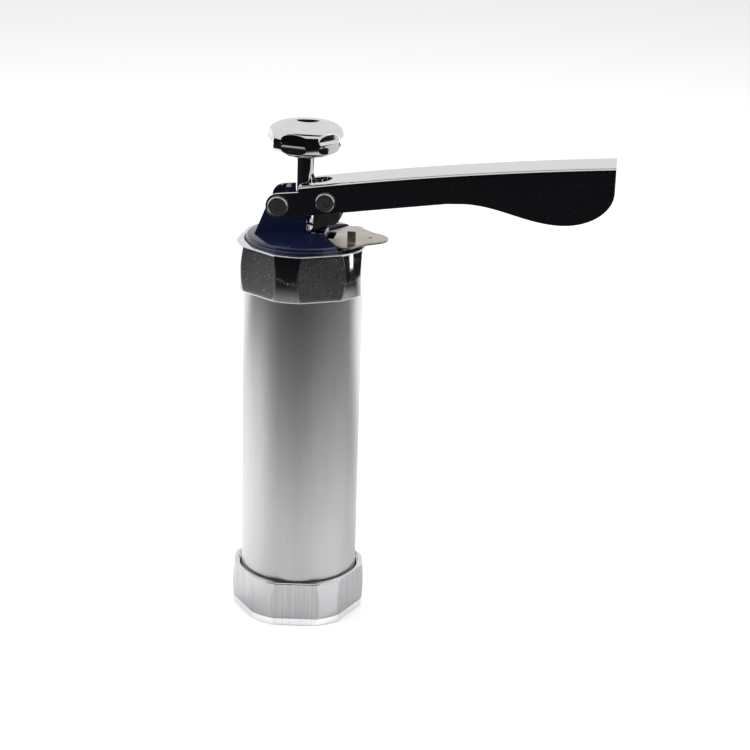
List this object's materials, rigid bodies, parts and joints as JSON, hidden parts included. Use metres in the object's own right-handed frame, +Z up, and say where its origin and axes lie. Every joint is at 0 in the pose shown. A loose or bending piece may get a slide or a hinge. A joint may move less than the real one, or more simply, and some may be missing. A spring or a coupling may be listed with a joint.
{
  "type": "cookie press",
  "caption": "Lever cookie press: aluminium barrel between faceted ring nuts, moulded head with a chrome lever, toothed rod with knob, piston and die disc.",
  "frame": {"origin": "middle of the whole press's box, on the plane of the bottom ring nut's rim that it stands on", "axes": "+Z up along the press axis, +X along the lever from its pivot to its end, +Y across the lever"},
  "size_m": [0.1676, 0.0618, 0.2314],
  "materials": {
    "satin_aluminium": "satin, fine turned lines",
    "bright_chrome": "polished plate",
    "brushed_steel": "brushed",
    "dark_steel": "blackened, satin",
    "warm_nickel": "nickel plate, matt",
    "spring_steel": "drawn wire",
    "navy_plastic": "gloss moulded",
    "brass": "machined",
    "grey_rubber": "matt",
    "white_plastic": "moulded"
  },
  "bodies": {
    "barrel": {"barrel": "satin_aluminium"},
    "die": {"die_disc": "satin_aluminium"},
    "bottom_ring": {"bottom_ring_nut": "bright_chrome"},
    "head": {"head_cap": "navy_plastic", "cap_gasket": "grey_rubber", "rod_bush": "brass", "pivot_rivet": "brushed_steel", "catch_pin": "brushed_steel"},
    "top_ring": {"top_ring_nut": "bright_chrome"},
    "lever": {"handle": "bright_chrome", "pawl_rivet": "brushed_steel", "pawl_spacer_front": "brushed_steel", "pawl_spacer_rear": "brushed_steel"},
    "pawl": {"drive_pawl": "dark_steel", "pawl_spring": "spring_steel"},
    "catch": {"catch_plate": "warm_nickel", "catch_spring": "spring_steel"},
    "piston": {"piston": "white_plastic", "piston_seal": "grey_rubber"},
    "rod": {"rod": "bright_chrome", "knob": "bright_chrome", "knob_insert": "brass", "piston_washer": "brushed_steel", "piston_nut": "brushed_steel"}
  },
  "joints": [
    {"name": "die_drop", "type": "slide", "parent": "barrel", "child": "die", "axis": [0, 0, 1], "range_m": [-0.0061, 0]},
    {"name": "bottom_ring_turn", "type": "hinge", "parent": "die", "child": "bottom_ring", "pos_m": [-0.05295, 0, 0.01], "axis": [0, 0, 1], "range_deg": [-1080, 0]},
    {"name": "head_lift", "type": "slide", "parent": "barrel", "child": "head", "axis": [0, 0, 1], "range_m": [0, 0.0061]},
    {"name": "top_ring_turn", "type": "hinge", "parent": "head", "child": "top_ring", "pos_m": [-0.05295, 0, 0.169], "axis": [0, 0, 1], "range_deg": [0, 1080]},
    {"name": "lever_pivot", "type": "hinge", "parent": "head", "child": "lever", "pos_m": [-0.06345, 0, 0.1963], "axis": [0, -1, 0], "range_deg": [-8, 18]},
    {"name": "pawl_pivot", "type": "hinge", "parent": "lever", "child": "pawl", "pos_m": [-0.04235, 0, 0.1993], "axis": [0, -1, 0], "range_deg": [-11.3, 5.1]},
    {"name": "catch_pivot", "type": "hinge", "parent": "head", "child": "catch", "pos_m": [-0.03745, 0, 0.1782], "axis": [0, -1, 0], "range_deg": [0, 12], "stiffness_Nm_per_rad": 0.02, "springref_deg": -20.05},
    {"name": "rod_slide", "type": "slide", "parent": "head", "child": "piston", "axis": [0, 0, 1], "range_m": [0, 0.135]},
    {"name": "rod_turn", "type": "hinge", "parent": "piston", "child": "rod", "pos_m": [-0.05295, 0, 0.2], "axis": [0, 0, 1], "continuous": true}
  ],
  "couplings": [
    {"joint": "pawl_pivot", "follows": "lever_pivot", "ratio": -0.62},
    {"joint": "head_lift", "follows": "top_ring_turn", "m_per_rad": 0.00031831},
    {"joint": "die_drop", "follows": "bottom_ring_turn", "m_per_rad": 0.00031831}
  ]
}
